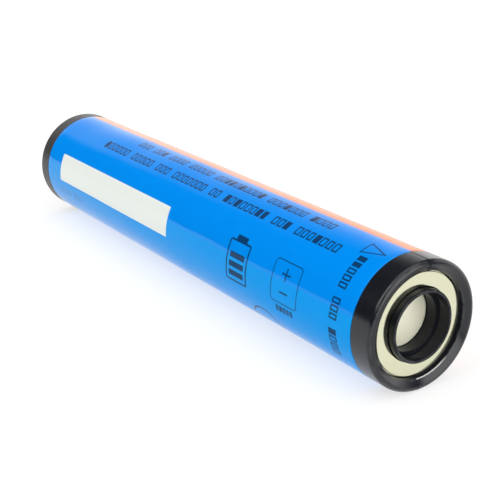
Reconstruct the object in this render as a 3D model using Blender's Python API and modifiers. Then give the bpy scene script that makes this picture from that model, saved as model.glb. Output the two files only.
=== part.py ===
"""A rechargeable battery stick for a flashlight, modelled as the pieces it is put together from.

The stick lies on its side along X, with its contact end towards +X and its lowest line on z = 0.
The origin is below the middle of the stick. Lengths are in millimetres until they reach a mesh.
A station is a distance along the stick from its rear face, and a depth is one back from its front.
Every round piece is a prism of FACETS flats, placed so that one flat faces straight down.
"""

import math

import bmesh
import bpy

MM = 0.001
FACETS = 32

# Driving dimensions.
STICK_LENGTH = 98.0
BODY_RADIUS = 9.3
SLEEVE_THICKNESS = 0.15
GAP = 0.1
CONTACT_GAP = 0.05

# Nose: the black collar at the front, split lengthwise, with a spigot under the sleeve.
COLLAR_LENGTH = 3.9
COLLAR_EDGE = 0.75
NOSE_LENGTH = 15.8
SPIGOT_RADIUS = 9.1
NOSE_BORE_RADIUS = 6.6
DISH_RADIUS = 7.67
DISH_DEPTH = 0.6
LIP_RADIUS = 7.44
RIB_RADIUS = 6.1
RIB_HALF_LENGTH = 0.55
SEAM_TILT = math.radians(-3)
SEAM_WIDTH = 0.1

# Front contacts and the bush that keeps them apart.
RING_DEPTH = 1.2
RING_THICKNESS = 0.5
RING_INNER_RADIUS = 5.3
RING_OUTER_RADIUS = 7.75
RING_FACE_RADIUS = 7.34
RIM_STEP = 0.2
LEG_RADIUS = 7.1
LEG_THICKNESS = 0.4
LEG_WIDTH = 2.0
BUSH_DEPTH = 0.15
BUSH_NOSE_RADIUS = 5.2
BUSH_BODY_RADIUS = 6.4
BUSH_WAIST_RADIUS = 5.9
BUSH_WAIST_HALF_LENGTH = 0.75
BUSH_WAIST_FROM_REAR = 2.1
BUSH_RIM = 0.15
BUSH_LENGTH = 8.22
MOUTH_RADIUS = 4.7
WELL_RADIUS = 4.25
MOUTH_DEPTH = 2.28
WELL_DEPTH = 4.1
CONTACT_RADIUS = 4.8
CONTACT_FACE_RADIUS = 4.15
CONTACT_THICKNESS = 0.5
STEM_RADIUS = 1.2
BUSH_BORE_RADIUS = 5.0

# Rear cap.
CAP_LENGTH = 3.3
CAP_SPIGOT_LENGTH = 2.0
CAP_EDGE = 0.6
CAP_FLOOR = 2.0
CAP_CORE_RADIUS = 7.6

# Cell: a steel can 65 mm long over its button, standing on the rear cap.
CELL_LENGTH = 65.0
CELL_REAR = 5.8
CAN_RADIUS = 8.95
CAN_WALL = 0.25
CAN_FLOOR = 0.3
CRIMP_HEIGHT = 63.8
BUTTON_RADIUS = 3.3
LID_RADIUS = 8.0
WINDING_CORE_RADIUS = 2.0
TAB_WIDTH = 3.0
FOIL_THICKNESS = 0.1

# Straps, board and spacer between the cell and the nose.
STRAP_THICKNESS = 0.15
SIDE_STRAP_THICKNESS = 0.1
STRAP_WIDTH = 3.0
POSITIVE_TAB_RADIUS = 3.5
NEGATIVE_TAB_RADIUS = 7.0
BOARD_THICKNESS = 1.0
BOARD_RADIUS = 8.7
SPACER_RADIUS = 8.85
SPACER_BORE_RADIUS = 7.6

# Stations that several pieces share.
FRONT = STICK_LENGTH
SLEEVE_FRONT = FRONT - COLLAR_LENGTH
NOSE_REAR = FRONT - NOSE_LENGTH
RING_FACE = FRONT - RING_DEPTH
RING_BACK = RING_FACE - RING_THICKNESS
CONTACT_FACE = FRONT - WELL_DEPTH
CONTACT_BACK = CONTACT_FACE - CONTACT_THICKNESS
BUSH_FRONT = FRONT - BUSH_DEPTH
BUSH_REAR = BUSH_FRONT - BUSH_LENGTH
WAIST_MIDDLE = BUSH_REAR + BUSH_WAIST_FROM_REAR
BOARD_FRONT = NOSE_REAR - 2 * GAP
BOARD_REAR = BOARD_FRONT - BOARD_THICKNESS
SPACER_FRONT = BOARD_REAR - 0.4
CRIMP_FRONT = CELL_REAR + CRIMP_HEIGHT
BUTTON_FACE = CELL_REAR + CELL_LENGTH
VENT_FRONT = CRIMP_FRONT - 1.4
WINDING_FRONT = CRIMP_FRONT - 4.5
WINDING_REAR = CELL_REAR + 0.9
CAP_SPIGOT_FRONT = CAP_LENGTH + CAP_SPIGOT_LENGTH

# Directions round the stick, as turns about its axis from straight down.
DOWN = 0.0
FAR_SIDE = math.radians(90)
UP = math.radians(180)
NEAR_SIDE = math.radians(270)

# Finishes: colour, roughness and metallic value.
FINISHES = {
    "sleeve_film": ((0.0, 0.27, 0.90), 0.25, 0.0),
    "black_moulding": ((0.025, 0.025, 0.028), 0.42, 0.0),
    "nickel_plate": ((0.78, 0.77, 0.68), 0.28, 1.0),
    "steel_can": ((0.62, 0.63, 0.64), 0.35, 1.0),
    "electrode_winding": ((0.22, 0.20, 0.19), 0.7, 0.0),
    "aluminium_foil": ((0.80, 0.81, 0.82), 0.35, 1.0),
    "cutoff_polymer": ((0.12, 0.12, 0.13), 0.5, 0.0),
    "gasket_plastic": ((0.10, 0.16, 0.42), 0.5, 0.0),
    "fish_paper": ((0.30, 0.42, 0.33), 0.8, 0.0),
    "board_laminate": ((0.02, 0.20, 0.09), 0.45, 0.0),
    "chip_epoxy": ((0.03, 0.03, 0.03), 0.55, 0.0),
    "chip_ceramic": ((0.55, 0.44, 0.33), 0.5, 0.0),
    "spacer_plastic": ((0.80, 0.79, 0.74), 0.5, 0.0),
}


def clear_scene():
    for old in list(bpy.data.objects):
        bpy.data.objects.remove(old, do_unlink=True)


def collection(name):
    made = bpy.data.collections.new(name)
    bpy.context.scene.collection.children.link(made)
    return made


def material(name):
    """The named finish as a Principled material, made once."""
    if name in bpy.data.materials:
        return bpy.data.materials[name]
    colour, roughness, metallic = FINISHES[name]
    made = bpy.data.materials.new(name)
    made.use_nodes = True
    shader = made.node_tree.nodes["Principled BSDF"]
    shader.inputs["Base Color"].default_value = (*colour, 1.0)
    shader.inputs["Roughness"].default_value = roughness
    shader.inputs["Metallic"].default_value = metallic
    return made


def arc(station, radius, size, start, end, steps=3):
    """Points on an arc about (station, radius); 0 degrees points forwards and 90 degrees outwards."""
    points = []
    for step in range(steps + 1):
        turn = math.radians(start + (end - start) * step / steps)
        points.append((station + size * math.cos(turn), radius + size * math.sin(turn)))
    return points


class Stick:
    """The axis that every piece is placed on, and the collections that hold pieces and cutters."""

    def __init__(self):
        self.pieces = collection("battery_stick")
        self.cutters = collection("cutters")
        self.axis = bpy.data.objects.new("stick_axis", None)
        self.axis.location = (-STICK_LENGTH / 2 * MM, 0, BODY_RADIUS * MM)
        self.axis.rotation_euler = (0, math.radians(90), 0)
        self.pieces.objects.link(self.axis)

    def place(self, name, mesh, finish, turn=0.0):
        made = bpy.data.objects.new(name, mesh)
        made.parent = self.axis
        made.rotation_euler = (0, 0, turn)
        if finish is None:
            made.hide_render = True
            made.display_type = "WIRE"
            self.cutters.objects.link(made)
        else:
            mesh.materials.append(material(finish))
            self.pieces.objects.link(made)
        return made

    def turned(self, name, outline, finish):
        """A turned piece. The outline is (station, radius) points, down the outside and up the inside.

        An outline that starts and ends on the axis stays open there, and any other is closed.
        Radii are to the middle of each flat.
        """
        reach = MM / math.cos(math.pi / FACETS)
        mesh = bpy.data.meshes.new(name)
        profile = bmesh.new()
        points = [profile.verts.new((radius * reach, 0, station * MM)) for station, radius in outline]
        for start, end in zip(points, points[1:]):
            profile.edges.new((start, end))
        if outline[0][1] > 0:
            profile.edges.new((points[-1], points[0]))
        profile.to_mesh(mesh)
        profile.free()
        made = self.place(name, mesh, finish, math.pi / FACETS)
        screw = made.modifiers.new("turn", "SCREW")
        screw.axis = "Z"
        screw.steps = FACETS
        screw.render_steps = FACETS
        screw.use_merge_vertices = True
        screw.merge_threshold = 0.00001
        return made

    def block(self, name, low, high, turn=0.0, finish=None):
        """A box between two corners: outwards, sideways and along the stick, turned about its axis."""
        mesh = bpy.data.meshes.new(name)
        box = bmesh.new()
        bmesh.ops.create_cube(box, size=1.0)
        for vert in box.verts:
            for i in range(3):
                vert.co[i] = MM * (low[i] if vert.co[i] < 0 else high[i])
        box.to_mesh(mesh)
        box.free()
        return self.place(name, mesh, finish, turn)

    def bar(self, name, radius, station, turn):
        """A cutter: a round bar from the stick's axis outwards, centred on a station."""
        length = BODY_RADIUS
        mesh = bpy.data.meshes.new(name)
        rod = bmesh.new()
        bmesh.ops.create_cone(
            rod, cap_ends=True, segments=12, radius1=radius * MM, radius2=radius * MM, depth=length * MM
        )
        for vert in rod.verts:
            x, y, z = vert.co
            vert.co = (z + length / 2 * MM, y, station * MM - x)
        rod.to_mesh(mesh)
        rod.free()
        return self.place(name, mesh, None, turn)

    def strap(self, name, outline, finish, width, back, turn):
        """A bent metal strip: a turned cup of the outline, cut down to a band on one side of the axis."""
        made = self.turned(name, outline, finish)
        keep = self.block(
            name + "_band", (-back, -width / 2, -1.0), (2 * BODY_RADIUS, width / 2, STICK_LENGTH), turn
        )
        boolean(made, keep, "INTERSECT")
        return made


def boolean(piece, other, operation):
    modifier = piece.modifiers.new(other.name, "BOOLEAN")
    modifier.operation = operation
    modifier.solver = "EXACT"
    modifier.object = other


# ---- The outside of the stick ----


def label_sleeve(stick):
    """The printed shrink film round the cell, from the rear cap to the collar."""
    inner = BODY_RADIUS - SLEEVE_THICKNESS
    front = SLEEVE_FRONT - GAP
    rear = CAP_LENGTH + GAP
    outline = [(front, BODY_RADIUS), (rear, BODY_RADIUS), (rear, inner), (front, inner)]
    stick.turned("label_sleeve", outline, "sleeve_film")


def nose_outline():
    """The collar and its spigot, with a groove for the ring and a rib for the bush."""
    edge = arc(FRONT - COLLAR_EDGE, BODY_RADIUS - COLLAR_EDGE, COLLAR_EDGE, 0, 90)
    groove_radius = RING_OUTER_RADIUS + GAP
    rib_front = WAIST_MIDDLE + RIB_HALF_LENGTH
    rib_rear = WAIST_MIDDLE - RIB_HALF_LENGTH
    return edge + [
        (SLEEVE_FRONT, BODY_RADIUS),
        (SLEEVE_FRONT, SPIGOT_RADIUS),
        (NOSE_REAR, SPIGOT_RADIUS),
        (NOSE_REAR, NOSE_BORE_RADIUS),
        (rib_rear, NOSE_BORE_RADIUS),
        (rib_rear, RIB_RADIUS),
        (rib_front, RIB_RADIUS),
        (rib_front, NOSE_BORE_RADIUS),
        (RING_BACK - GAP, NOSE_BORE_RADIUS),
        (RING_BACK - GAP, groove_radius),
        (RING_FACE - RIM_STEP + GAP, groove_radius),
        (RING_FACE - RIM_STEP + GAP, LIP_RADIUS),
        (FRONT - DISH_DEPTH, DISH_RADIUS),
    ]


def nose_halves(stick):
    """Two half mouldings that close round the bush and the ring, with a slot in each for a ring leg."""
    beyond = 2 * BODY_RADIUS
    sides = {
        "nose_half_near": ((-beyond, -SEAM_WIDTH / 2), (beyond, beyond), NEAR_SIDE),
        "nose_half_far": ((-beyond, -beyond), (beyond, SEAM_WIDTH / 2), FAR_SIDE),
    }
    for name, (low, high, leg_side) in sides.items():
        half = stick.turned(name, nose_outline(), "black_moulding")
        other_side = stick.block(
            name + "_other_side", (*low, NOSE_REAR - 1), (*high, FRONT + 1), SEAM_TILT
        )
        boolean(half, other_side, "DIFFERENCE")
        slot_half = LEG_WIDTH / 2 + 0.3
        slot = stick.block(
            name + "_leg_slot",
            (RIB_RADIUS - 0.5, -slot_half, NOSE_REAR - 1),
            (LEG_RADIUS + 0.5, slot_half, RING_BACK),
            leg_side,
        )
        boolean(half, slot, "DIFFERENCE")


def contact_ring(stick):
    """The negative front contact: a flat ring whose stepped rim the collar holds, with two legs."""
    outline = [
        (RING_FACE, RING_FACE_RADIUS),
        (RING_FACE - RIM_STEP, RING_FACE_RADIUS),
        (RING_FACE - RIM_STEP, RING_OUTER_RADIUS),
        (RING_BACK, RING_OUTER_RADIUS),
        (RING_BACK, RING_INNER_RADIUS),
        (RING_FACE, RING_INNER_RADIUS),
    ]
    ring = stick.turned("contact_ring", outline, "nickel_plate")
    for side, turn in (("near", NEAR_SIDE), ("far", FAR_SIDE)):
        leg = stick.block(
            f"ring_leg_{side}",
            (LEG_RADIUS - LEG_THICKNESS / 2, -LEG_WIDTH / 2, BOARD_REAR - 0.8),
            (LEG_RADIUS + LEG_THICKNESS / 2, LEG_WIDTH / 2, RING_BACK + RIM_STEP / 2),
            turn,
        )
        boolean(ring, leg, "UNION")


def insulating_bush(stick):
    """The bush whose nose stands through the ring, with the stepped well for the centre contact."""
    shoulder = RING_BACK - 2 * GAP
    waist_front = WAIST_MIDDLE + BUSH_WAIST_HALF_LENGTH
    waist_rear = WAIST_MIDDLE - BUSH_WAIST_HALF_LENGTH
    outline = arc(BUSH_FRONT - BUSH_RIM, BUSH_NOSE_RADIUS - BUSH_RIM, BUSH_RIM, 0, 90, 2) + [
        (shoulder, BUSH_NOSE_RADIUS),
        (shoulder, BUSH_BODY_RADIUS),
        (waist_front, BUSH_BODY_RADIUS),
        (waist_front, BUSH_WAIST_RADIUS),
        (waist_rear, BUSH_WAIST_RADIUS),
        (waist_rear, BUSH_BODY_RADIUS),
        (BUSH_REAR, BUSH_BODY_RADIUS),
        (BUSH_REAR, BUSH_BORE_RADIUS),
        (CONTACT_FACE - RIM_STEP + GAP, BUSH_BORE_RADIUS),
        (CONTACT_FACE - RIM_STEP + GAP, WELL_RADIUS),
        (FRONT - MOUTH_DEPTH, WELL_RADIUS),
        (FRONT - MOUTH_DEPTH, MOUTH_RADIUS),
        (BUSH_FRONT - BUSH_RIM, MOUTH_RADIUS),
        (BUSH_FRONT, MOUTH_RADIUS + BUSH_RIM),
    ]
    stick.turned("insulating_bush", outline, "black_moulding")


def centre_contact(stick):
    """The positive front contact: a stepped disc at the bottom of the well, with a stem to the board."""
    stem_rear = BOARD_REAR - 0.6
    outline = [
        (CONTACT_FACE, 0),
        (CONTACT_FACE, CONTACT_FACE_RADIUS),
        (CONTACT_FACE - RIM_STEP, CONTACT_FACE_RADIUS),
        (CONTACT_FACE - RIM_STEP, CONTACT_RADIUS),
        (CONTACT_BACK, CONTACT_RADIUS),
        (CONTACT_BACK, STEM_RADIUS),
        (stem_rear, STEM_RADIUS),
        (stem_rear, 0),
    ]
    stick.turned("centre_contact", outline, "nickel_plate")


def contact_retainer(stick):
    """The plug pressed into the bush behind the centre contact."""
    front = CONTACT_BACK - 0.3
    rear = BUSH_REAR + 0.4
    bore = STEM_RADIUS + 0.25
    outer = BUSH_BORE_RADIUS - 2 * GAP
    outline = [(front, outer), (rear, outer), (rear, bore), (front, bore)]
    stick.turned("contact_retainer", outline, "black_moulding")


def rear_cap(stick):
    """The closed end cap, cored out towards the cell, with a spigot under the sleeve."""
    spigot = BODY_RADIUS - SLEEVE_THICKNESS - GAP
    edge = arc(CAP_EDGE, BODY_RADIUS - CAP_EDGE, CAP_EDGE, 90, 180)
    outline = [
        (CAP_FLOOR, 0),
        (CAP_FLOOR, CAP_CORE_RADIUS),
        (CAP_SPIGOT_FRONT, CAP_CORE_RADIUS),
        (CAP_SPIGOT_FRONT, spigot),
        (CAP_LENGTH, spigot),
        (CAP_LENGTH, BODY_RADIUS),
        *edge,
        (0, 0),
    ]
    stick.turned("rear_cap", outline, "black_moulding")


# ---- The cell ----


def cell_can(stick):
    """The drawn can: flat floor, straight wall, rolled bead and a mouth crimped over the gasket."""
    corner = 0.4
    mouth = 6.8
    bead_radius = CAN_RADIUS - 0.75
    bead = CRIMP_FRONT - 2.9
    outer = [
        (CRIMP_FRONT, mouth),
        (CRIMP_FRONT, CAN_RADIUS - corner),
        (CRIMP_FRONT - corner, CAN_RADIUS),
        (bead + 0.7, CAN_RADIUS),
        (bead + 0.35, bead_radius),
        (bead - 0.35, bead_radius),
        (bead - 0.7, CAN_RADIUS),
        (CELL_REAR + corner, CAN_RADIUS),
        (CELL_REAR, CAN_RADIUS - corner),
        (CELL_REAR, 0),
    ]
    inner = CAN_RADIUS - CAN_WALL
    inner_bead = bead_radius - CAN_WALL
    inside = [
        (CELL_REAR + CAN_FLOOR, 0),
        (CELL_REAR + CAN_FLOOR, inner - corner),
        (CELL_REAR + CAN_FLOOR + corner, inner),
        (bead - 0.85, inner),
        (bead - 0.5, inner_bead),
        (bead + 0.5, inner_bead),
        (bead + 0.85, inner),
        (CRIMP_FRONT - corner - CAN_WALL, inner),
        (CRIMP_FRONT - CAN_FLOOR, inner - corner),
        (CRIMP_FRONT - CAN_FLOOR, mouth),
    ]
    stick.turned("cell_can", inside + outer, "steel_can")


def cell_gasket(stick):
    """The plastic channel that grips the edge of the cell's lid inside the crimp."""
    front = CRIMP_FRONT - 0.4
    rear = CRIMP_FRONT - 1.95
    wall = 0.3
    outer = CAN_RADIUS - CAN_WALL - GAP
    inner = LID_RADIUS + 0.2
    outline = [
        (front, outer - 0.5),
        (front - wall, outer),
        (rear, outer),
        (rear, LID_RADIUS - 0.6),
        (rear + wall, LID_RADIUS - 0.6),
        (rear + wall, inner),
        (front - wall, inner),
        (front - wall, LID_RADIUS - 1.1),
        (front, LID_RADIUS - 1.1),
    ]
    stick.turned("cell_gasket", outline, "gasket_plastic")


def vent_disc(stick):
    """The dished aluminium disc that tears open if the cell's pressure rises."""
    dish = 0.4
    dish_radius = 2.8
    sheet = 0.2
    rear = VENT_FRONT - sheet
    outline = [
        (VENT_FRONT - dish, 0),
        (VENT_FRONT - dish, dish_radius),
        (VENT_FRONT, dish_radius + 0.6),
        (VENT_FRONT, LID_RADIUS),
        (rear, LID_RADIUS),
        (rear, dish_radius + 0.7),
        (rear - dish, dish_radius + 0.1),
        (rear - dish, 0),
    ]
    stick.turned("vent_disc", outline, "aluminium_foil")


def button_cap(stick):
    """The heat-sensitive ring and the button above it, whose sloping wall has three gas ports."""
    rear = VENT_FRONT + CONTACT_GAP
    front = rear + 0.25
    inner = BUTTON_RADIUS + 0.4
    ring = [(front, LID_RADIUS), (rear, LID_RADIUS), (rear, inner), (front, inner)]
    stick.turned("thermal_cutoff_ring", ring, "cutoff_polymer")
    wall = 0.3
    corner = 0.2
    flange_rear = front + CONTACT_GAP
    flange_front = flange_rear + wall
    outline = [
        (BUTTON_FACE, 0),
        (BUTTON_FACE, BUTTON_RADIUS - corner),
        (BUTTON_FACE - corner, BUTTON_RADIUS),
        (flange_front, BUTTON_RADIUS + 2 * wall),
        (flange_front, LID_RADIUS),
        (flange_rear, LID_RADIUS),
        (flange_rear, BUTTON_RADIUS + wall),
        (BUTTON_FACE - wall - corner, BUTTON_RADIUS - wall),
        (BUTTON_FACE - wall, BUTTON_RADIUS - wall - corner),
        (BUTTON_FACE - wall, 0),
    ]
    button = stick.turned("button_cap", outline, "nickel_plate")
    port_radius = 0.4
    port_station = (BUTTON_FACE + flange_front) / 2
    for index in range(3):
        port = stick.bar(f"gas_port_{index}", port_radius, port_station, index * math.radians(120))
        boolean(button, port, "DIFFERENCE")


def winding(stick):
    """The wound electrodes, with an insulating disc at each end."""
    core = WINDING_CORE_RADIUS
    outer = CAN_RADIUS - CAN_WALL - 2 * GAP
    roll = [(WINDING_FRONT, outer), (WINDING_REAR, outer), (WINDING_REAR, core), (WINDING_FRONT, core)]
    stick.turned("jelly_roll", roll, "electrode_winding")
    washers = {
        "winding_front_insulator": (WINDING_FRONT + 0.2, 8.0, 3.4),
        "winding_rear_insulator": (WINDING_REAR - 0.35, 7.2, core),
    }
    thickness = 0.15
    for name, (rear, washer_outer, washer_inner) in washers.items():
        front = rear + thickness
        outline = [(front, washer_outer), (rear, washer_outer), (rear, washer_inner), (front, washer_inner)]
        stick.turned(name, outline, "fish_paper")


def cell_tabs(stick):
    """The aluminium tab up to the vent disc and the nickel tab down to the can's floor."""
    bend = 3.0
    front = CRIMP_FRONT - 2.0 - GAP
    rear = WINDING_FRONT + CONTACT_GAP
    cathode = [
        (front, 0),
        (front, bend),
        (rear + FOIL_THICKNESS, bend),
        (rear + FOIL_THICKNESS, bend + 2.0),
        (rear, bend + 2.0),
        (rear, bend - FOIL_THICKNESS),
        (front - FOIL_THICKNESS, bend - FOIL_THICKNESS),
        (front - FOIL_THICKNESS, 0),
    ]
    stick.strap("cathode_tab", cathode, "aluminium_foil", TAB_WIDTH, 1.0, UP)
    floor = CELL_REAR + CAN_FLOOR + CONTACT_GAP
    edge = 7.5
    anode = [
        (floor + FOIL_THICKNESS, 0),
        (floor + FOIL_THICKNESS, edge),
        (WINDING_REAR - GAP, edge),
        (WINDING_REAR - GAP, edge + FOIL_THICKNESS),
        (floor, edge + FOIL_THICKNESS),
        (floor, 0),
    ]
    stick.strap("anode_tab", anode, "nickel_plate", TAB_WIDTH, 1.0, DOWN)


# ---- Between the cell and the nose ----


def insulators(stick):
    """The paper washer over the crimp and the paper disc behind the can."""
    rear = CRIMP_FRONT + CONTACT_GAP
    front = rear + 0.2
    washer = [(front, 8.8), (rear, 8.8), (rear, BUTTON_RADIUS + 0.5), (front, BUTTON_RADIUS + 0.5)]
    stick.turned("crimp_insulator", washer, "fish_paper")
    disc_front = CELL_REAR - STRAP_THICKNESS - 0.13
    disc_rear = disc_front - 0.12
    disc = [(disc_front, 0), (disc_front, CAN_RADIUS), (disc_rear, CAN_RADIUS), (disc_rear, 0)]
    stick.turned("rear_insulator", disc, "fish_paper")


def cell_spacer(stick):
    """The tube that holds the board clear of the cell and leaves room for the straps."""
    rear = CRIMP_FRONT + 0.35
    outline = [
        (SPACER_FRONT, SPACER_RADIUS),
        (rear, SPACER_RADIUS),
        (rear, SPACER_BORE_RADIUS),
        (SPACER_FRONT, SPACER_BORE_RADIUS),
    ]
    stick.turned("cell_spacer", outline, "spacer_plastic")


def straps(stick):
    """The positive strap from the button, and the negative strap from the can's floor, to the board."""
    tab_front = BOARD_REAR - 0.12
    tab_rear = tab_front - STRAP_THICKNESS
    riser = 6.5
    foot = BUTTON_FACE + CONTACT_GAP
    positive = [
        (foot + STRAP_THICKNESS, 0),
        (foot + STRAP_THICKNESS, riser - STRAP_THICKNESS),
        (tab_rear, riser - STRAP_THICKNESS),
        (tab_rear, POSITIVE_TAB_RADIUS),
        (tab_front, POSITIVE_TAB_RADIUS),
        (tab_front, riser),
        (foot, riser),
        (foot, 0),
    ]
    stick.strap("positive_strap", positive, "nickel_plate", STRAP_WIDTH, 2.5, UP)
    inner = CAN_RADIUS + CONTACT_GAP
    outer = inner + SIDE_STRAP_THICKNESS
    under = CELL_REAR - CONTACT_GAP
    negative = [
        (under, 0),
        (under, inner),
        (tab_rear, inner),
        (tab_rear, NEGATIVE_TAB_RADIUS),
        (tab_front, NEGATIVE_TAB_RADIUS),
        (tab_front, outer),
        (under - STRAP_THICKNESS, outer),
        (under - STRAP_THICKNESS, 0),
    ]
    stick.strap("negative_strap", negative, "nickel_plate", STRAP_WIDTH, 3.0, DOWN)


def protection_board(stick):
    """The round circuit board, with a hole for the stem and a slot for each ring leg."""
    outline = [(BOARD_FRONT, BOARD_RADIUS), (BOARD_REAR, BOARD_RADIUS)]
    bore = STEM_RADIUS + 0.2
    outline += [(BOARD_REAR, bore), (BOARD_FRONT, bore)]
    board = stick.turned("protection_board", outline, "board_laminate")
    for side, turn in (("near", NEAR_SIDE), ("far", FAR_SIDE)):
        slot = stick.block(
            f"board_slot_{side}",
            (LEG_RADIUS - 0.5, -LEG_WIDTH / 2 - 0.3, BOARD_REAR - 1),
            (LEG_RADIUS + 0.5, LEG_WIDTH / 2 + 0.3, BOARD_FRONT + 1),
            turn,
        )
        boolean(board, slot, "DIFFERENCE")


def board_components(stick):
    """The parts on the board's rear face: name, centre (down, far), size across and height."""
    parts = (
        ("power_switch_chip", (0.0, 4.2), (5.0, 4.0), 1.4, "chip_epoxy"),
        ("protection_chip", (-1.6, -3.6), (1.6, 2.9), 1.1, "chip_epoxy"),
        ("sense_resistor", (1.8, -3.6), (1.6, 3.2), 0.6, "chip_epoxy"),
        ("filter_capacitor", (4.4, -1.6), (1.3, 2.0), 0.9, "chip_ceramic"),
        ("thermistor", (4.4, 1.9), (1.0, 1.6), 0.8, "chip_ceramic"),
    )
    seat = BOARD_REAR - 0.05
    for name, (down, far), (deep, wide), height, finish in parts:
        chip = stick.block(
            name,
            (down - deep / 2, far - wide / 2, seat - height),
            (down + deep / 2, far + wide / 2, seat),
            finish=finish,
        )
        bevel = chip.modifiers.new("edges", "BEVEL")
        bevel.width = 0.1 * MM
        bevel.segments = 1


def main():
    clear_scene()
    stick = Stick()
    label_sleeve(stick)
    nose_halves(stick)
    contact_ring(stick)
    insulating_bush(stick)
    centre_contact(stick)
    contact_retainer(stick)
    rear_cap(stick)
    cell_can(stick)
    cell_gasket(stick)
    vent_disc(stick)
    button_cap(stick)
    winding(stick)
    cell_tabs(stick)
    insulators(stick)
    cell_spacer(stick)
    straps(stick)
    protection_board(stick)
    board_components(stick)


main()
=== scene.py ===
"""The looks of the battery stick: turned outer pieces, printed film, mouldings, metal, and the studio.

The stick lies along X with its contact end towards +X. Lengths here are in millimetres until they
reach a mesh. A depth is a distance back from the stick's front face. A heading is an angle about the
stick's axis from the near side (-Y), through the top (90 degrees) to the far side (180 degrees).
"""

import math

import bmesh
import bpy
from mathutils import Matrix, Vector


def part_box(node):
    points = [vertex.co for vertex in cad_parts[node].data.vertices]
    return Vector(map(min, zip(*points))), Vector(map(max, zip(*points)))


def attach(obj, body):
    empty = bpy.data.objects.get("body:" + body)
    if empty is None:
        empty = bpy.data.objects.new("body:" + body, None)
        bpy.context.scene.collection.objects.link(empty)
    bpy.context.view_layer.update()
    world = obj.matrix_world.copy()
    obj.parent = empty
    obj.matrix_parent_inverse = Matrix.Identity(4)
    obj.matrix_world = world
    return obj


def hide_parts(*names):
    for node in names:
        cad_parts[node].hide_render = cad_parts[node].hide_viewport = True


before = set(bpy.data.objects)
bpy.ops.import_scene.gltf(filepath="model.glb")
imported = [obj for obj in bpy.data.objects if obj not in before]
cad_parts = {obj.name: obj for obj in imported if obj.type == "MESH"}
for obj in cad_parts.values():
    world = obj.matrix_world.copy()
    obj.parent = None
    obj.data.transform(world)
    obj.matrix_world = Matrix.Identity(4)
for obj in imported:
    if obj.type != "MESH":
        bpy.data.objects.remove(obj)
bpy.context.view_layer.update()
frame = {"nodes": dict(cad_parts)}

MM = 0.001
SEGMENTS = 192
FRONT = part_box("nose_half_near")[1].x / MM


def depth_span(node):
    """The depths of a CAD node's front and rear, in millimetres."""
    low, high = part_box(node)
    return FRONT - high.x / MM, FRONT - low.x / MM


# Sizes that the frame gives.
AXIS_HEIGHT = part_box("rear_cap")[1].z / MM / 2
BODY_RADIUS = AXIS_HEIGHT
NOSE_LENGTH = depth_span("nose_half_near")[1]
FILM_FRONT, FILM_REAR = depth_span("label_sleeve")
CAP_FRONT, CAP_REAR = depth_span("rear_cap")
RING_FRONT, LEG_REAR = depth_span("contact_ring")
BUSH_FRONT, BUSH_REAR = depth_span("insulating_bush")
CONTACT_FRONT, STEM_REAR = depth_span("centre_contact")

# Sizes that the turned pieces repeat from the CAD model.
FILM_THICKNESS = 0.15
GAP = 0.1
COLLAR_LENGTH = 3.9
COLLAR_EDGE = 0.75
SPIGOT_RADIUS = 9.1
BORE_RADIUS = 6.6
RIB_RADIUS = 6.1
RIB_DEPTHS = (5.72, 6.82)
DISH_DEPTH = 0.6
DISH_RADIUS = 7.67
LIP_RADIUS = 7.44
LEG_SLOT_RADII = (5.6, 7.6)
LEG_SLOT_HALF_WIDTH = 1.3
SEAM_TURN = math.radians(3)
SEAM_HALF_GAP = math.radians(0.05)
RING_STEP = 0.2
RING_REAR = RING_FRONT + 0.5
RING_INNER_RADIUS = 5.3
RING_FACE_RADIUS = 7.34
RING_RIM_RADIUS = 7.75
LEG_RADII = (6.9, 7.3)
LEG_HALF_WIDTH = 1.0
BUSH_NOSE_RADIUS = 5.2
BUSH_BODY_RADIUS = 6.4
BUSH_WAIST_RADIUS = 5.9
BUSH_WAIST = (BUSH_REAR - 2.85, BUSH_REAR - 1.35)
BUSH_BORE_RADIUS = 5.0
MOUTH_RADIUS = 4.7
MOUTH_DEPTH = 2.28
WELL_RADIUS = 4.25
CONTACT_FACE_RADIUS = 4.15
CONTACT_RADIUS = 4.8
CONTACT_THICKNESS = 0.5
STEM_RADIUS = 1.2
CAP_LENGTH = 3.3
CAP_EDGE = 0.6
CAP_FLOOR = 2.0
CAP_CORE_RADIUS = 7.6
CAP_SPIGOT_RADIUS = BODY_RADIUS - 0.25

# Camera, placed round a point on the stick's axis plane.
CAMERA_AIM = (9.32, -0.05, 7.85)
CAMERA_AZIMUTH = 55.1
CAMERA_ELEVATION = 20.68
CAMERA_DISTANCE = 170.4
CAMERA_LENS = 77.0
FLOOR_REACH = 3000.0

# The film's print. Depths and sizes are in millimetres, headings and half turns in degrees.
BLUE_MIDDLE = 5.0
BLUE_HALF_TURN = 90.0
PANEL_DEPTHS = (50.3, 89.3)
PANEL_HEADINGS = (-3.0, 28.5)
GLYPH_HEIGHT = 1.6
GLYPH_STROKE = 0.26
SOLID_SHARE = 0.25
INK_EDGE = 0.06

# A painted highlight on the collar's lip, a pale line between these headings in degrees.
LIP_HIGHLIGHT_START = -88.0
LIP_HIGHLIGHT_END = -127.0

# Moulded black where it is rubbed, and the pale grey of a painted highlight on the lip.
RUBBED_BLACK = (0.05, 0.052, 0.056)
# Pale grey of the painted highlight along the far half's inner lip.
LIP_HIGHLIGHT_GREY = (0.62, 0.62, 0.60)

# The film sinks by up to this much in long waves that fade out before its cut ends.
FILM_SAG = 0.05
FILM_SAG_FADE = 4.0

# Brightness of the studio's lights, and of the wall that the camera sees.
KEY_LEVEL = 2.5
OVERHEAD_LEVEL = 1.4
FRONT_LEVEL = 2.6
AMBIENT_LEVEL = 0.03
BACKDROP_LEVEL = 1.5
WALL_LEVEL = 1.05
FLOOR_GLOW = 0.66


# ---- Node graphs written as sums ----


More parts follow.
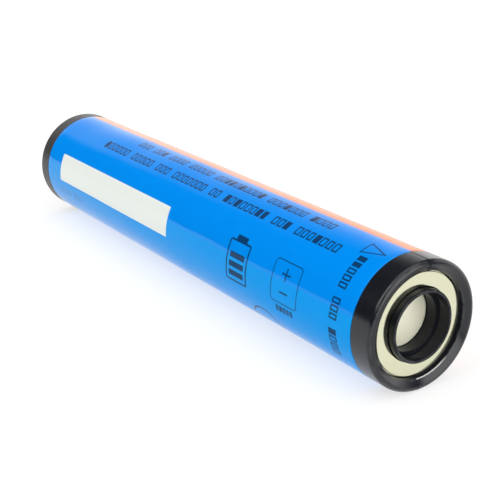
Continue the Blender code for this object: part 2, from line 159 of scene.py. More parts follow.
class Term:
    """A socket or number in a node graph, on which the usual operators add math nodes."""

    def __init__(self, graph, socket):
        self.graph = graph
        self.socket = socket

    def __add__(self, other):
        return self.graph.math("ADD", self, other)

    def __sub__(self, other):
        return self.graph.math("SUBTRACT", self, other)

    def __rsub__(self, other):
        return self.graph.math("SUBTRACT", other, self)

    def __mul__(self, other):
        return self.graph.math("MULTIPLY", self, other)

    def __truediv__(self, other):
        return self.graph.math("DIVIDE", self, other)

    def __abs__(self):
        return self.graph.math("ABSOLUTE", self)

    __radd__ = __add__
    __rmul__ = __mul__


class Graph:
    """The node tree of a material or world, with short calls for the nodes used here."""

    def __init__(self, tree):
        self.tree = tree

    def node(self, kind, **settings):
        made = self.tree.nodes.new(kind)
        for name, value in settings.items():
            setattr(made, name, value)
        return made

    def feed(self, socket, value):
        if isinstance(value, Term):
            self.tree.links.new(value.socket, socket)
        else:
            socket.default_value = value

    def math(self, operation, *values):
        made = self.node("ShaderNodeMath", operation=operation)
        for socket, value in zip(made.inputs, values):
            self.feed(socket, value)
        return Term(self, made.outputs[0])

    def least(self, first, *others):
        for other in others:
            first = self.math("MINIMUM", first, other)
        return first

    def most(self, first, *others):
        for other in others:
            first = self.math("MAXIMUM", first, other)
        return first

    def ramp(self, value, start, end, low=0.0, high=1.0):
        """value taken smoothly from low at start to high at end."""
        made = self.node("ShaderNodeMapRange", interpolation_type="SMOOTHSTEP")
        for socket, number in zip(made.inputs, (value, start, end, low, high)):
            self.feed(socket, number)
        return Term(self, made.outputs[0])

    def between(self, value, rise, fall):
        """1 between two soft edges, each given by where it starts and ends."""
        return self.ramp(value, *rise) * self.ramp(value, *fall, 1.0, 0.0)

    def inside(self, distance, edge):
        """1 where a signed distance is below zero, with a soft edge."""
        return self.ramp(distance, -edge, edge, 1.0, 0.0)

    def join(self, x, y, z):
        made = self.node("ShaderNodeCombineXYZ")
        for socket, value in zip(made.inputs, (x, y, z)):
            self.feed(socket, value)
        return Term(self, made.outputs[0])

    def split(self, vector):
        made = self.node("ShaderNodeSeparateXYZ")
        self.feed(made.inputs[0], vector)
        return [Term(self, output) for output in made.outputs]

    def noise(self, vector, scale, detail=2.0, rough=0.5):
        made = self.node("ShaderNodeTexNoise")
        self.feed(made.inputs["Vector"], vector)
        made.inputs["Scale"].default_value = scale
        made.inputs["Detail"].default_value = detail
        made.inputs["Roughness"].default_value = rough
        return Term(self, made.outputs["Fac"])

    def pick(self, number):
        """A fixed random value from 0 to 1 for each whole number."""
        made = self.node("ShaderNodeTexWhiteNoise", noise_dimensions="1D")
        self.feed(made.inputs["W"], number)
        return Term(self, made.outputs["Value"])

    def blend(self, share, low, high):
        """Colour low where share is 0, and high where it is 1."""
        made = self.node("ShaderNodeMix", data_type="RGBA")
        self.feed(made.inputs["Factor"], share)
        for name, value in (("A", low), ("B", high)):
            socket = next(s for s in made.inputs if s.name == name and s.type == "RGBA")
            self.feed(socket, value if isinstance(value, Term) else (*value, 1.0))
        return Term(self, next(s for s in made.outputs if s.type == "RGBA"))

    def bump(self, height, distance):
        """A normal from a height whose 1 stands for distance millimetres."""
        made = self.node("ShaderNodeBump")
        made.inputs["Distance"].default_value = distance * MM
        self.feed(made.inputs["Height"], height)
        return Term(self, made.outputs["Normal"])


class Finish(Graph):
    """A material on one Principled shader, with the stick's own coordinates in millimetres."""

    def __init__(self, name, roughness, metallic=0.0, ior=1.5):
        self.material = bpy.data.materials.new(name)
        self.material.use_nodes = True
        super().__init__(self.material.node_tree)
        self.shader = self.tree.nodes["Principled BSDF"]
        self.set("Metallic", metallic)
        self.set("Roughness", roughness)
        self.set("IOR", ior)
        place = self.node("ShaderNodeTexCoord").outputs["Object"]
        scale = self.node("ShaderNodeVectorMath", operation="SCALE")
        scale.inputs["Scale"].default_value = 1 / MM
        self.tree.links.new(place, scale.inputs[0])
        self.place = Term(self, scale.outputs[0])
        x, y, z = self.split(self.place)
        up = z - AXIS_HEIGHT
        self.depth = FRONT - x
        self.radius = self.math("SQRT", y * y + up * up)
        self.turn = self.math("ARCTAN2", up, y * -1.0)

    def set(self, socket, value):
        self.feed(self.shader.inputs[socket], value)

    def tinted(self, share, low, high):
        self.set("Base Color", self.blend(share, low, high))


# ---- The print on the film ----


def length(graph, across, up):
    """The length of the diagonal of two sides at a right angle."""
    return graph.math("SQRT", graph.math("POWER", across, 2.0) + graph.math("POWER", up, 2.0))


def box_distance(graph, u, v, middle, half, corner=0.0):
    """Distance from a rounded rectangle, negative inside it."""
    across = abs(u - middle[0]) - (half[0] - corner)
    up = abs(v - middle[1]) - (half[1] - corner)
    outside = length(graph, graph.most(across, 0.0), graph.most(up, 0.0))
    return outside + graph.least(graph.most(across, up), 0.0) - corner


def glyph_row(graph, along, across, line, start, pitch, counts, height=GLYPH_HEIGHT):
    """Blank blocks in place of lettering, some solid, in groups of the given counts one block apart.

    along runs down the row from start, and line is the row's middle.
    """
    cell = (along - start) / pitch
    index = graph.math("FLOOR", cell)
    within = abs(cell - index - 0.5) * pitch
    solid = graph.math("LESS_THAN", graph.pick(index + 0.5), SOLID_SHARE)
    half_width = graph.pick(index) * 0.06 + 0.36
    outer = graph.most(within - half_width * pitch, abs(across - line) - height / 2)
    hollow = (outer + GLYPH_STROKE) * -1.0 - solid * height
    ink = graph.inside(graph.most(outer, hollow), 0.07)
    row = None
    for count in counts:
        half = count * pitch / 2
        group = graph.inside(abs(along - (start + half)) - half, 0.02)
        row = group if row is None else graph.most(row, group)
        start += (count + 1) * pitch
    return ink * row


def outline(graph, distance, stroke):
    """Ink along the edge of a shape."""
    return graph.inside(abs(distance) - stroke / 2, INK_EDGE)


def arc_length(heading):
    """Distance round the film to a heading in degrees."""
    return math.radians(heading) * BODY_RADIUS


def battery_pictogram(graph, u, v):
    """An upright outlined battery with its cap nub and three bars."""
    middle = (30.2, arc_length(9.5))
    case = box_distance(graph, u, v, middle, (2.5, 3.1), 0.35)
    nub = box_distance(graph, u, v, (middle[0], middle[1] + 3.6), (1.3, 0.45), 0.1)
    ink = graph.most(outline(graph, case, 0.3), graph.inside(nub, INK_EDGE))
    for level in (-1.9, -0.5, 0.9):
        bar = box_distance(graph, u, v, (middle[0], middle[1] + level), (1.85, 0.45), 0.1)
        ink = graph.most(ink, graph.inside(bar, INK_EDGE))
    return ink


def polarity_pictogram(graph, u, v):
    """A rounded frame round a plus and a minus."""
    middle = (18.5, arc_length(12.5))
    border = box_distance(graph, u, v, middle, (2.95, 3.1), 0.6)
    ink = outline(graph, border, 0.16)
    flat = (0.95, 0.13)
    upright = (0.13, 0.95)
    for level, half in ((1.3, flat), (1.3, upright), (-1.4, flat)):
        stroke = box_distance(graph, u, v, (middle[0], middle[1] + level), half)
        ink = graph.most(ink, graph.inside(stroke, INK_EDGE))
    return ink


def pointer(graph, u, v):
    """An outlined triangle that points to the contact end."""
    tip = 5.4
    base = 9.1
    level = arc_length(74.3)
    half_width = 1.15
    slope = half_width / (base - tip)
    side = (abs(v - level) - (u - tip) * slope) / math.hypot(1.0, slope)
    return outline(graph, graph.most(side, u - base), 0.2)


def round_mark(graph, u, v):
    """A plain ring."""
    across = u - 24.8
    up = v - arc_length(-46.0)
    return outline(graph, length(graph, across, up) - 3.3, 0.3)


def faint_ink(graph, u, v):
    """A worn, half-strength row of blank blocks below the panel."""
    return glyph_row(graph, u, v, arc_length(-16.5), 81.2, 1.15, (3, 4), 1.2)


def printed_ink(graph, u, v):
    """Where the film carries dark ink: rows of blank blocks, pictograms and the pointer."""
    rows = (
        (u, v, arc_length(81.5), 17.0, 1.3, (4, 7, 10, 5, 4, 3, 3), GLYPH_HEIGHT),
        (u, v, arc_length(61.0), 12.2, 1.39, (7, 3, 8, 2, 7, 3, 5, 6), GLYPH_HEIGHT),
        (v, u, 7.65, arc_length(-30.0), 1.1, (4, 3, 5), GLYPH_HEIGHT),
        (u, v, arc_length(-13.0), 16.5, 0.8, (5,), 0.95),
    )
    ink = battery_pictogram(graph, u, v)
    for shape in (polarity_pictogram, pointer, round_mark):
        ink = graph.most(ink, shape(graph, u, v))
    for row in rows:
        ink = graph.most(ink, glyph_row(graph, *row))
    return ink


# ---- Materials ----


def film_material():
    """Glossy printed shrink film: blue on the near half, orange on the far half, a blank panel and ink.

    The lower part of the blue is painted a little lighter, a painted reflection, and towards the collar it is
    less glossy.
    """
    film = Finish("printed_film", 0.1, ior=1.3)
    u = film.depth
    v = film.turn * BODY_RADIUS
    mottle = film.noise(film.place, 0.35, 3.0)
    grain = film.noise(film.place, 6.0, 2.0)
    heading = film.turn * math.degrees(1)
    # The lower part of the blue: lighter blue there is a painted reflection, and the gloss is lowered there
    # too.
    lower_painted_reflection = film.ramp(heading, 12.0, 18.0, 1.0, 0.0)
    upper_blue = film.blend(mottle, (0.0, 0.242, 0.81), (0.0, 0.262, 0.85))
    # Painted reflection: a lighter blue on the lower part of the near half.
    blue = film.blend(lower_painted_reflection, upper_blue, (0.0, 0.318, 0.84))
    orange = film.blend(mottle, (0.80, 0.18, 0.02), (0.85, 0.22, 0.03))
    half_turn = film.inside(abs(heading - BLUE_MIDDLE) - BLUE_HALF_TURN, 2.5)
    colour = film.blend(half_turn, orange, blue)
    panel_middle = (sum(PANEL_DEPTHS) / 2, arc_length(sum(PANEL_HEADINGS) / 2))
    panel_half = (
        (PANEL_DEPTHS[1] - PANEL_DEPTHS[0]) / 2,
        arc_length(PANEL_HEADINGS[1] - PANEL_HEADINGS[0]) / 2,
    )
    panel = film.inside(box_distance(film, u, v, panel_middle, panel_half, 0.25), INK_EDGE)
    colour = film.blend(panel, colour, film.blend(grain, (0.78, 0.82, 0.77), (0.84, 0.88, 0.83)))
    ink = printed_ink(film, u, v) * film.ramp(grain, 0.1, 0.4, 0.72, 0.86)
    ink = film.most(ink, faint_ink(film, u, v) * film.ramp(mottle, 0.35, 0.6, 0.1, 0.35))
    film.set("Base Color", film.blend(ink, colour, (0.004, 0.010, 0.030)))

    along_streaks = film.noise(film.join(u * 0.02, v * 1.6, 0.0), 1.0, 3.0)
    scratches = film.noise(film.join(u * 0.15, v * 9.0, film.radius), 1.0, 4.0, 0.7)
    scuffed = film.ramp(scratches, 0.62, 0.75)
    film.set("Specular IOR Level", 0.5 - lower_painted_reflection * film.ramp(u, 10.0, 120.0, 0.36, 0.0))
    film.set("Roughness", scuffed * 0.06 + along_streaks * 0.04 + panel * 0.1 + ink * 0.05 + 0.05)
    ripple = film.noise(film.join(u * 0.055, film.turn * 1.1, 0.0), 1.0, 1.0)
    fine = film.noise(film.join(u * 0.35, v * 0.5, 0.0), 1.0, 2.0)
    height = ripple + fine * 0.012 + grain * 0.0006 + panel * 0.012 + scuffed * 0.0008
    film.set("Normal", film.bump(height, 0.22))
    return film.material


def edge_distance(graph, depth, radius):
    """Distance from the circle at a depth and radius."""
    return length(graph, graph.depth - depth, graph.radius - radius)


def painted_lip_highlight(graph):
    """1 on a thin painted highlight along the far half's inner lip, beside the bottom seam."""
    heading = graph.turn * math.degrees(1)
    # Mask of the painted highlight: a thin line along the lip's inner edge.
    painted_highlight = graph.ramp(edge_distance(graph, DISH_DEPTH, DISH_RADIUS), 0.04, 0.13, 1.0, 0.0)
    ends = ((LIP_HIGHLIGHT_END - 8.0, LIP_HIGHLIGHT_END + 8.0), (LIP_HIGHLIGHT_START - 1.0, LIP_HIGHLIGHT_START + 1.0))
    return painted_highlight * graph.between(heading, *ends)


def moulding_material(name, worn_edges, smooth=0.12, colour=(0.007, 0.008, 0.012), gloss=0.5, seam=None):
    """Black glass-filled plastic with a fine spark-eroded texture, and lighter wear at (depth, radius) edges.

    smooth is its least roughness. seam is the heading in radians of the plane where two halves meet in a
    fine groove, beside which the far half's inner lip gets a pale painted highlight.
    """
    moulding = Finish(name, smooth, ior=1.49)
    texture = moulding.noise(moulding.place, 9.0, 3.0, 0.6)
    cloud = moulding.noise(moulding.place, 0.6, 3.0)
    scratch_place = moulding.join(moulding.depth * 1.2, moulding.turn * 14.0, moulding.radius * 1.2)
    scratches = moulding.ramp(moulding.noise(scratch_place, 1.0, 4.0, 0.7), 0.64, 0.74)
    wear = moulding.ramp(scratches, 0.0, 1.0, 0.0, 0.12)
    for depth, radius in worn_edges:
        near = edge_distance(moulding, depth, radius)
        rubbed = moulding.ramp(near, 0.05, 0.32, 1.0, 0.0) * moulding.ramp(cloud, 0.4, 0.62)
        wear = moulding.most(wear, rubbed * 0.6)
    roughness = cloud * 0.08 + texture * 0.05 + wear * 0.1 + smooth
    shine = gloss
    if seam is not None:
        across = abs(moulding.math("SINE", moulding.turn - seam)) * moulding.radius
        shut = moulding.ramp(across, 0.05, 0.13, 1.0, 0.0)
        shine = gloss - shut * gloss
        roughness = roughness + shut * 0.4
        wear = wear * (1.0 - shut)
    tone = moulding.blend(wear, colour, RUBBED_BLACK)
    # Pale grey painted highlight along the far half's inner lip, beside the seam.
    if seam is not None:
        tone = moulding.blend(painted_lip_highlight(moulding), tone, LIP_HIGHLIGHT_GREY)
    moulding.set("Base Color", tone)
    moulding.set("Specular IOR Level", shine)
    moulding.set("Roughness", roughness)
    moulding.set("Normal", moulding.bump(texture + scratches * 0.35, 0.003))
    return moulding.material


def nickel_material(name, metallic, smooth, colours):
    """Nickel plate over stamped brass: turned lines, a warm tint and arcs scuffed by the contacts.

    smooth is the roughness between the lines and scuffs.
    """
    nickel = Finish(name, smooth, metallic)
    lines = nickel.noise(nickel.join(nickel.radius * 9.0, nickel.turn * 0.6, 0.0), 1.0, 4.0, 0.7)
    cloud = nickel.noise(nickel.place, 0.9, 3.0)
    scuff_place = nickel.join(nickel.radius * 3.0, nickel.turn * 2.5, 4.0)
    scuffs = nickel.ramp(nickel.noise(scuff_place, 1.0, 3.0, 0.6), 0.55, 0.7)
    nickel.tinted(cloud, *colours)
    nickel.set("Roughness", lines * 0.08 + scuffs * 0.10 + smooth)
    nickel.set("Normal", nickel.bump(lines + scuffs * 0.5, 0.0015))
    return nickel.material


def grained_material(name, colours, roughness, metallic=0.0, scale=2.0, stretch=(1, 1, 1), height=0.01):
    """A finish for a piece inside the stick: two tones mixed by a stretched grain, with a matching bump."""
    made = Finish(name, roughness, metallic)
    x, y, z = made.split(made.place)
    grain_place = made.join(x * stretch[0], y * stretch[1], z * stretch[2])
    grain = made.noise(grain_place, scale, 4.0, 0.6)
    made.tinted(made.ramp(grain, 0.3, 0.7), *colours)
    made.set("Roughness", grain * 0.2 + (roughness - 0.1))
    made.set("Normal", made.bump(grain, height))
    return made.material


def inner_materials(nickel):
    """A finish for each material slot of the pieces that are sealed inside the sleeve."""
    return {
        "nickel_plate": nickel,
        "black_moulding": moulding_material("black_moulding_inner", ()),
        "steel_can": grained_material(
            "drawn_steel", ((0.50, 0.51, 0.52), (0.66, 0.67, 0.68)), 0.32, 1.0, 1.5, (0.15, 3, 3), 0.004
        ),
        "electrode_winding": grained_material(
            "wound_electrodes", ((0.10, 0.09, 0.09), (0.34, 0.30, 0.27)), 0.7, 0.0, 2.0, (0.05, 6, 6), 0.03
        ),
        "aluminium_foil": grained_material(
            "rolled_aluminium", ((0.72, 0.73, 0.74), (0.86, 0.87, 0.88)), 0.35, 1.0, 3.0, (4, 0.4, 4), 0.004
        ),
        "cutoff_polymer": grained_material(
            "carbon_polymer", ((0.03, 0.03, 0.035), (0.09, 0.09, 0.10)), 0.55, 0.0, 6.0
        ),
        "gasket_plastic": grained_material(
            "gasket_polypropylene", ((0.05, 0.09, 0.30), (0.09, 0.15, 0.42)), 0.5
        ),
        "fish_paper": grained_material(
            "fish_paper_fibre", ((0.20, 0.30, 0.22), (0.34, 0.45, 0.34)), 0.85, 0.0, 4.0, (1, 1, 4), 0.02
        ),
        "board_laminate": grained_material(
            "board_glass_weave", ((0.01, 0.13, 0.05), (0.02, 0.24, 0.10)), 0.4, 0.0, 5.0, (1, 3, 3), 0.01
        ),
        "chip_epoxy": grained_material("chip_moulding", ((0.012, 0.012, 0.013), (0.035, 0.035, 0.037)), 0.55),
        "chip_ceramic": grained_material("chip_fired_ceramic", ((0.42, 0.32, 0.22), (0.60, 0.48, 0.35)), 0.5),
        "spacer_plastic": grained_material(
            "spacer_moulding", ((0.72, 0.70, 0.64), (0.84, 0.83, 0.78)), 0.5, 0.0, 3.0
        ),
    }


# ---- Turned pieces ----


def filleted(corners, closed):
    """The points of an outline whose (depth, radius, fillet) corners are rounded by their fillets."""
    points = []
    for i, (depth, radius, fillet) in enumerate(corners):
        corner = Vector((depth, radius))
        end = not closed and i in (0, len(corners) - 1)
        if fillet == 0 or end:
            points.append(corner)
            continue
        before = Vector(corners[i - 1][:2]) - corner
        after = Vector(corners[(i + 1) % len(corners)][:2]) - corner
        half_angle = before.angle(after) / 2
        setback = fillet / math.tan(half_angle)
        start = corner + before.normalized() * setback
        finish = corner + after.normalized() * setback
        centre = corner + (before.normalized() + after.normalized()).normalized() * (
            fillet / math.sin(half_angle)
        )
        first = start - centre
        swing = first.angle_signed(finish - centre)
        steps = max(2, round(abs(math.degrees(swing)) / 10))
        for step in range(steps + 1):
            turn = -swing * step / steps
            c, s = math.cos(turn), math.sin(turn)
            points.append(centre + Vector((c * first.x - s * first.y, s * first.x + c * first.y)))
    return points


def ring_point(depth, radius, turn):
    """The point in metres at a depth, radius and angle from straight down."""
    return (
        (FRONT - depth) * MM,
        -radius * math.sin(turn) * MM,
        (AXIS_HEIGHT - radius * math.cos(turn)) * MM,
    )


def turned(name, corners, material, closed=True, start=0.0, sweep=math.tau, shape=None):
    """A piece turned about the stick's axis from an outline of (depth, radius, fillet) corners.

    An outline that isn't closed starts and ends on the axis. A sweep under a full turn gets flat ends.
    shape(depth, radius, turn) may give a point a new radius.
    """
    points = filleted(corners, closed)
    whole = sweep == math.tau
    steps = SEGMENTS if whole else round(SEGMENTS * sweep / math.tau)
    mesh = bmesh.new()
    rows = []
    for i in range(steps if whole else steps + 1):
        turn = start + sweep * i / steps
        row = []
        for depth, radius in points:
            if shape:
                radius = shape(depth, radius, turn)
            row.append(mesh.verts.new(ring_point(depth, radius, turn)))
        rows.append(row)
    count = len(points)
    for i in range(steps):
        row, following = rows[i], rows[(i + 1) % len(rows)]
        for j in range(count if closed else count - 1):
            k = (j + 1) % count
            mesh.faces.new((row[j], row[k], following[k], following[j]))
    if not whole:
        mesh.faces.new(rows[0])
        mesh.faces.new(reversed(rows[-1]))
    bmesh.ops.remove_doubles(mesh, verts=mesh.verts[:], dist=MM * 1e-4)
    bmesh.ops.recalc_face_normals(mesh, faces=mesh.faces[:])
    return finished(name, mesh, material)


def finished(name, mesh, material):
    """An object from a bmesh, shaded smooth with hard edges kept hard."""
    data = bpy.data.meshes.new(name)
    mesh.to_mesh(data)
    mesh.free()
    data.materials.append(material)
    data.shade_smooth()
    data.set_sharp_from_angle(angle=math.radians(40))
    made = bpy.data.objects.new(name, data)
    bpy.context.scene.collection.objects.link(made)
    weighted = made.modifiers.new("even_shading", "WEIGHTED_NORMAL")
    weighted.keep_sharp = True
    return made


def boolean(piece, other, operation):
    """Applies a Boolean to the piece, and removes the other object."""
    modifier = piece.modifiers.new(other.name, "BOOLEAN")
    modifier.operation = operation
    modifier.solver = "EXACT"
    modifier.object = other
    piece.modifiers.move(len(piece.modifiers) - 1, 0)
    with bpy.context.temp_override(object=piece, active_object=piece):
        bpy.ops.object.modifier_apply(modifier=modifier.name)
    bpy.data.objects.remove(other)


def slab(name, depths, radii, half_width, heading, material):
    """A box that stands out from the axis at a heading in degrees."""
    mesh = bmesh.new()
    bmesh.ops.create_cube(mesh, size=1.0)
    c, s = math.cos(math.radians(heading)), math.sin(math.radians(heading))
    for vert in mesh.verts:
        depth = depths[vert.co.x < 0]
        out = radii[vert.co.y > 0]
        side = math.copysign(half_width, vert.co.z)
        vert.co = (
            (FRONT - depth) * MM,
            (-out * c + side * s) * MM,
            (AXIS_HEIGHT + out * s + side * c) * MM,
        )
    bmesh.ops.recalc_face_normals(mesh, faces=mesh.faces[:])
    return finished(name, mesh, material)


def stands_for(piece, node):
    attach(piece, "root")
    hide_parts(node)


def film_ripple(depth, radius, turn):
    """The film's outside sinks by a few hundredths of a millimetre in long shallow waves."""
    if radius < BODY_RADIUS - 0.02:
        return radius
    wave = 0.5 + 0.25 * math.sin(depth * 0.31 + 2.0 * turn) + 0.25 * math.sin(depth * 0.13 - 3.0 * turn + 1.0)
    ends = min(1.0, (depth - FILM_FRONT) / FILM_SAG_FADE, (FILM_REAR - depth) / FILM_SAG_FADE)
    return radius - FILM_SAG * wave * max(0.0, ends)


def make_film(material):
    """The printed film, with rounded cut ends."""
    inner = BODY_RADIUS - FILM_THICKNESS
    steps = 72
    outside = [
        (FILM_FRONT + (FILM_REAR - FILM_FRONT) * i / steps, BODY_RADIUS, 0.0) for i in range(1, steps)
    ]
    corners = [
        (FILM_FRONT, inner, 0.0),
        (FILM_FRONT, BODY_RADIUS, 0.06),
        *outside,
        (FILM_REAR, BODY_RADIUS, 0.06),
        (FILM_REAR, inner, 0.0),
    ]
    film = turned("printed_film", corners, material, shape=film_ripple)
    stands_for(film, "label_sleeve")


def make_nose(material):
    """The two half mouldings of the collar, each with a slot for a ring leg."""
    groove = RING_RIM_RADIUS + GAP
    corners = [
        (0.0, BODY_RADIUS - COLLAR_EDGE - 0.05, 0.04),
        (0.0, BODY_RADIUS, COLLAR_EDGE),
        (COLLAR_LENGTH, BODY_RADIUS, 0.06),
        (COLLAR_LENGTH, SPIGOT_RADIUS, 0.0),
        (NOSE_LENGTH, SPIGOT_RADIUS, 0.3),
        (NOSE_LENGTH, BORE_RADIUS, 0.2),
        (RIB_DEPTHS[1], BORE_RADIUS, 0.0),
        (RIB_DEPTHS[1], RIB_RADIUS, 0.1),
        (RIB_DEPTHS[0], RIB_RADIUS, 0.1),
        (RIB_DEPTHS[0], BORE_RADIUS, 0.0),
        (RING_REAR + GAP, BORE_RADIUS, 0.1),
        (RING_REAR + GAP, groove, 0.0),
        (RING_FRONT + RING_STEP - GAP, groove, 0.0),
        (RING_FRONT + RING_STEP - GAP, LIP_RADIUS, 0.03),
        (DISH_DEPTH, DISH_RADIUS, 0.1),
    ]
    for name, node, start, heading in (
        ("collar_half_near", "nose_half_near", SEAM_TURN, 0.0),
        ("collar_half_far", "nose_half_far", SEAM_TURN + math.pi, 180.0),
    ):
        sweep = math.pi - 2 * SEAM_HALF_GAP
        half = turned(name, corners, material, start=start + SEAM_HALF_GAP, sweep=sweep)
        depths = (RING_REAR + GAP, NOSE_LENGTH + 1)
        slot = slab(name + "_slot", depths, LEG_SLOT_RADII, LEG_SLOT_HALF_WIDTH, heading, material)
        boolean(half, slot, "DIFFERENCE")
        stands_for(half, node)


def make_ring(material):
    """The negative contact ring with its stepped rim and two legs."""
    corners = [
        (RING_FRONT, RING_INNER_RADIUS, 0.08),
        (RING_FRONT, RING_FACE_RADIUS, 0.06),
        (RING_FRONT + RING_STEP, RING_FACE_RADIUS, 0.04),
        (RING_FRONT + RING_STEP, RING_RIM_RADIUS, 0.06),
        (RING_REAR, RING_RIM_RADIUS, 0.06),
        (RING_REAR, RING_INNER_RADIUS, 0.06),
    ]
    ring = turned("contact_ring_plate", corners, material)
    for heading in (0.0, 180.0):
        leg = slab("leg", (RING_REAR - 0.15, LEG_REAR), LEG_RADII, LEG_HALF_WIDTH, heading, material)
        boolean(ring, leg, "UNION")
    stands_for(ring, "contact_ring")


def make_bush(material):
    """The insulating bush: a rounded rim, a stepped well, a waist for the collar's rib, and a bore."""
    shoulder = RING_REAR + 2 * GAP
    seat = CONTACT_FRONT + RING_STEP - GAP
    corners = [
        (BUSH_FRONT, MOUTH_RADIUS, 0.16),
        (BUSH_FRONT, BUSH_NOSE_RADIUS, 0.22),
        (shoulder, BUSH_NOSE_RADIUS, 0.05),
        (shoulder, BUSH_BODY_RADIUS, 0.1),
        (BUSH_WAIST[0], BUSH_BODY_RADIUS, 0.1),
        (BUSH_WAIST[0], BUSH_WAIST_RADIUS, 0.1),
        (BUSH_WAIST[1], BUSH_WAIST_RADIUS, 0.1),
        (BUSH_WAIST[1], BUSH_BODY_RADIUS, 0.1),
        (BUSH_REAR, BUSH_BODY_RADIUS, 0.2),
        (BUSH_REAR, BUSH_BORE_RADIUS, 0.1),
        (seat, BUSH_BORE_RADIUS, 0.0),
        (seat, WELL_RADIUS, 0.05),
        (MOUTH_DEPTH, WELL_RADIUS, 0.12),
        (MOUTH_DEPTH, MOUTH_RADIUS, 0.05),
    ]
    bush = turned("contact_bush", corners, material)
    stands_for(bush, "insulating_bush")


def make_centre_contact(material):
    """The stepped disc at the bottom of the well, on its stem."""
    step = CONTACT_FRONT + RING_STEP
    back = CONTACT_FRONT + CONTACT_THICKNESS
    corners = [
        (CONTACT_FRONT, 0.0, 0.0),
        (CONTACT_FRONT, CONTACT_FACE_RADIUS, 0.08),
        (step, CONTACT_FACE_RADIUS, 0.04),
        (step, CONTACT_RADIUS, 0.06),
        (back, CONTACT_RADIUS, 0.06),
        (back, STEM_RADIUS, 0.1),
        (STEM_REAR, STEM_RADIUS, 0.2),
        (STEM_REAR, 0.0, 0.0),
    ]
    contact = turned("centre_contact_disc", corners, material, closed=False)
    stands_for(contact, "centre_contact")


def make_rear_cap(material):
    """The closed rear cap with its rounded edge and the spigot under the film."""
    band = CAP_REAR - CAP_LENGTH
    corners = [
        (CAP_REAR - CAP_FLOOR, 0.0, 0.0),
        (CAP_REAR - CAP_FLOOR, CAP_CORE_RADIUS, 0.3),
        (CAP_FRONT, CAP_CORE_RADIUS, 0.1),
        (CAP_FRONT, CAP_SPIGOT_RADIUS, 0.3),
        (band, CAP_SPIGOT_RADIUS, 0.0),
        (band, BODY_RADIUS, 0.06),
        (CAP_REAR, BODY_RADIUS, CAP_EDGE),
        (CAP_REAR, 0.0, 0.0),
    ]
    cap = turned("rear_end_cap", corners, material, closed=False)
    stands_for(cap, "rear_cap")


def finish_inner_nodes(frame, nickel):
    """Gives each CAD node that still shows the finish of its material slot."""
    finishes = inner_materials(nickel)
    for node in frame["nodes"].values():
        if node.hide_render:
            continue
        slot = node.data.materials[0].name.split(".")[0]
        node.data.materials[0] = finishes[slot]


# ---- Studio ----


def make_floor():
    """A large pale sheet under the stick, lit faintly from below as on a light table."""
    mesh = bmesh.new()
    bmesh.ops.create_grid(mesh, x_segments=8, y_segments=8, size=FLOOR_REACH * MM)
    paper = bpy.data.materials.new("paper_floor")
    paper.use_nodes = True
    graph = Graph(paper.node_tree)
    place = Term(graph, graph.node("ShaderNodeTexCoord").outputs["Object"])
    shader = graph.tree.nodes["Principled BSDF"]
    fibre = graph.noise(place, 400.0, 3.0)
    graph.feed(shader.inputs["Base Color"], graph.blend(fibre, (0.34, 0.34, 0.34), (0.37, 0.37, 0.37)))
    shader.inputs["Roughness"].default_value = 0.9
    shader.inputs["Specular IOR Level"].default_value = 0.1
    shader.inputs["Emission Color"].default_value = (1.0, 1.0, 1.0, 1.0)
    shader.inputs["Emission Strength"].default_value = FLOOR_GLOW
    floor = finished("floor", mesh, paper)


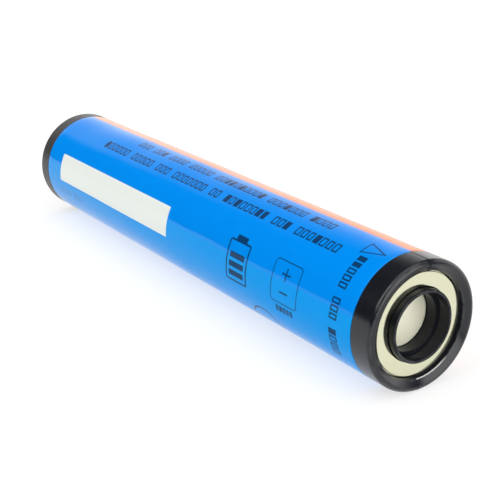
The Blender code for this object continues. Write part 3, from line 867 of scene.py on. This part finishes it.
def studio_world():
    """Soft light by direction: a lit backdrop behind, and soft boxes beside, above and in front.

    Azimuths are in degrees from +X towards +Y. What the camera sees directly is a plain pale wall.
    """
    world = bpy.data.worlds.new("studio")
    world.use_nodes = True
    bpy.context.scene.world = world
    graph = Graph(world.node_tree)
    toward = Term(graph, graph.node("ShaderNodeTexCoord").outputs["Generated"])
    x, y, z = graph.split(toward)
    azimuth = graph.math("ARCTAN2", y, x) * math.degrees(1)
    elevation = graph.math("ARCSINE", z) * math.degrees(1)

    backdrop_turn = graph.math("WRAP", azimuth, 250.0, -110.0)
    backdrop = graph.between(backdrop_turn, (45.0, 75.0), (186.0, 196.0))
    backdrop_fall = graph.node("ShaderNodeMapRange", interpolation_type="LINEAR")
    for socket, number in zip(backdrop_fall.inputs, (elevation, 14.0, 43.0, BACKDROP_LEVEL, 0.0)):
        graph.feed(socket, number)
    key = graph.between(azimuth, (-136.0, -128.0), (-80.0, -70.0))
    key = key * graph.between(elevation, (22.0, 28.0), (62.0, 68.0))
    overhead = graph.ramp(elevation, 50.0, 62.0)
    front = graph.ramp(abs(azimuth), 35.0, 45.0, 1.0, 0.0)
    front = front * graph.between(elevation, (2.0, 8.0), (46.0, 54.0))
    light = backdrop * Term(graph, backdrop_fall.outputs[0])
    light = light + key * KEY_LEVEL + overhead * OVERHEAD_LEVEL + front * FRONT_LEVEL + AMBIENT_LEVEL

    path = graph.node("ShaderNodeLightPath")
    seen = Term(graph, path.outputs["Is Camera Ray"])
    level = seen * WALL_LEVEL + (1.0 - seen) * light
    background = graph.tree.nodes["Background"]
    background.inputs["Color"].default_value = (1.0, 1.0, 1.0, 1.0)
    graph.feed(background.inputs["Strength"], level)


def make_camera():
    azimuth = math.radians(CAMERA_AZIMUTH)
    elevation = math.radians(CAMERA_ELEVATION)
    back = Vector(
        (
            math.sin(azimuth) * math.cos(elevation),
            -math.cos(azimuth) * math.cos(elevation),
            math.sin(elevation),
        )
    )
    data = bpy.data.cameras.new("camera")
    data.lens = CAMERA_LENS
    data.sensor_width = 36.0
    data.clip_start = 0.005
    data.clip_end = 20.0
    camera = bpy.data.objects.new("camera", data)
    camera.location = (Vector(CAMERA_AIM) + back * CAMERA_DISTANCE) * MM
    camera.rotation_euler = (-back).to_track_quat("-Z", "Y").to_euler()
    bpy.context.scene.collection.objects.link(camera)
    bpy.context.scene.camera = camera
    bpy.context.scene.view_settings.view_transform = "Standard"


# Collar moulding: rubbed edge wear, and a painted highlight on the far half's lip beside the seam.
moulding = moulding_material(
    "black_moulding_worn_and_painted_highlight",
    ((0.15, BODY_RADIUS - 0.15), (DISH_DEPTH, DISH_RADIUS)),
    seam=SEAM_TURN + math.pi / 2,
)
nickel = nickel_material("polished_nickel", 1.0, 0.08, ((0.68, 0.68, 0.49), (0.74, 0.74, 0.54)))
matt_nickel = nickel_material("matt_nickel", 0.15, 0.32, ((0.88, 0.87, 0.68), (0.94, 0.93, 0.74)))
make_film(film_material())
make_nose(moulding)
make_ring(nickel)
make_bush(moulding_material("bush_moulding", ((0.2, 4.95),), 0.16, gloss=0.2))
make_centre_contact(matt_nickel)
make_rear_cap(
    moulding_material("cap_moulding", ((CAP_REAR - 0.15, BODY_RADIUS - 0.15),), 0.32, (0.030, 0.031, 0.030))
)
finish_inner_nodes(frame, nickel)
make_floor()
studio_world()
make_camera()
